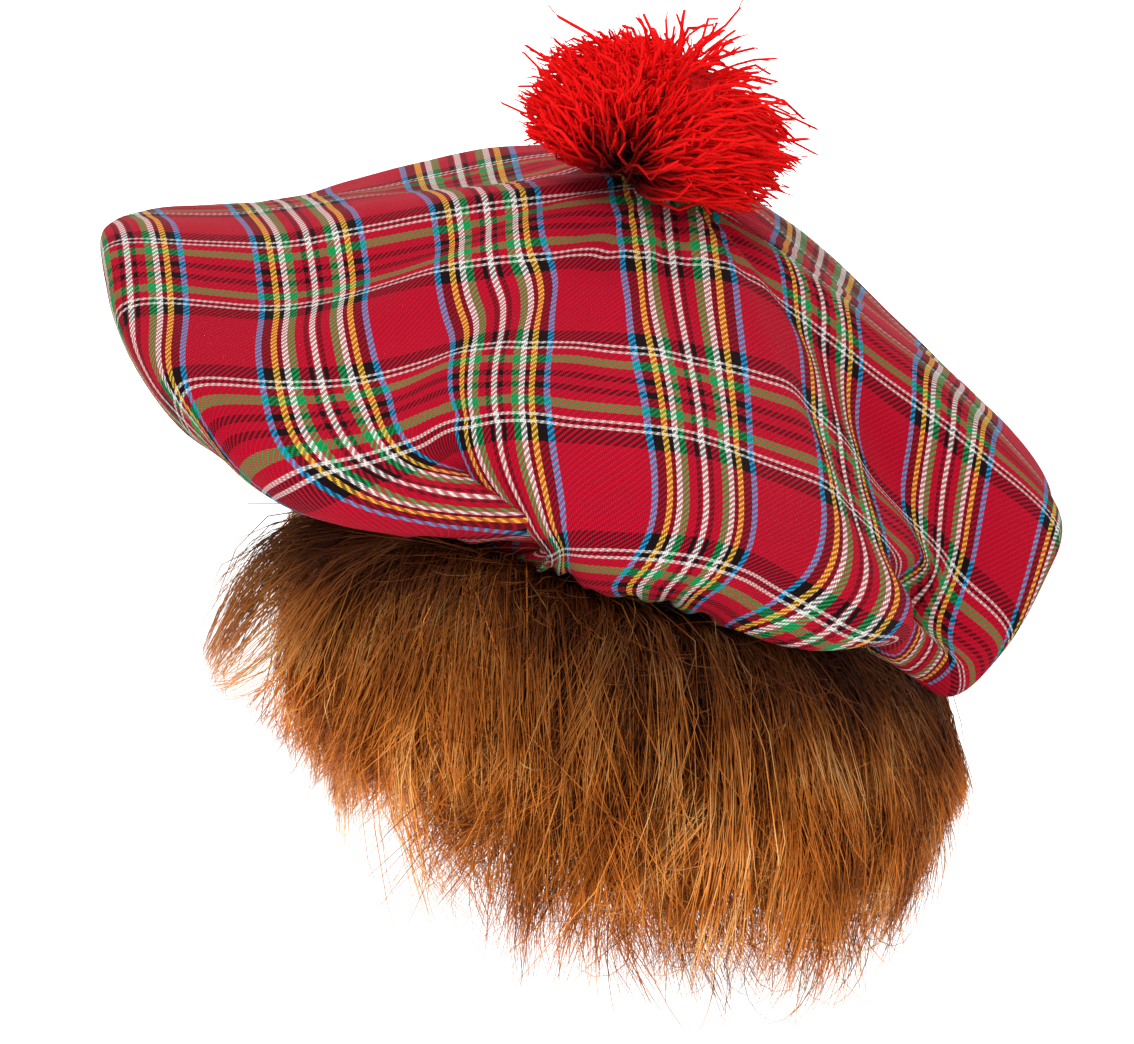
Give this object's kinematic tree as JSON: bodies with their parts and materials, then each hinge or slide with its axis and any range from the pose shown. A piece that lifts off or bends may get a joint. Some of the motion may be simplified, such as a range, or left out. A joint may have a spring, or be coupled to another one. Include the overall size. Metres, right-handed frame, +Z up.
{
  "type": "tam o'shanter hat with attached faux hair",
  "caption": "Floppy tartan tam o'shanter with a yarn pompom on its peak and a fall of faux fur hair round the back and sides, open at the face.",
  "frame": {"origin": "centre of the oval head opening, at the middle of the band's width, where the head holds the hat", "axes": "+Z up along the wearer's head, +Y to the wearer's face, which the hair leaves open, and +X to the wearer's right, the side that the crown droops to"},
  "size_m": [0.2843, 0.2674, 0.2799],
  "materials": {
    "tartan_cloth": "brushed red tartan twill with green, blue, yellow, white and black stripes, matt",
    "band_tape": "black woven tape, matt",
    "knit_backing": "brown knitted fur backing, matt",
    "faux_hair": "ginger faux fur fibre with a soft sheen",
    "pompom_yarn": "cut red acrylic yarn, matt"
  },
  "bodies": {
    "root": {"crown": "tartan_cloth", "headband": "band_tape", "wig_backing": "knit_backing", "hair": "faux_hair", "pompom": "pompom_yarn"}
  },
  "joints": []
}
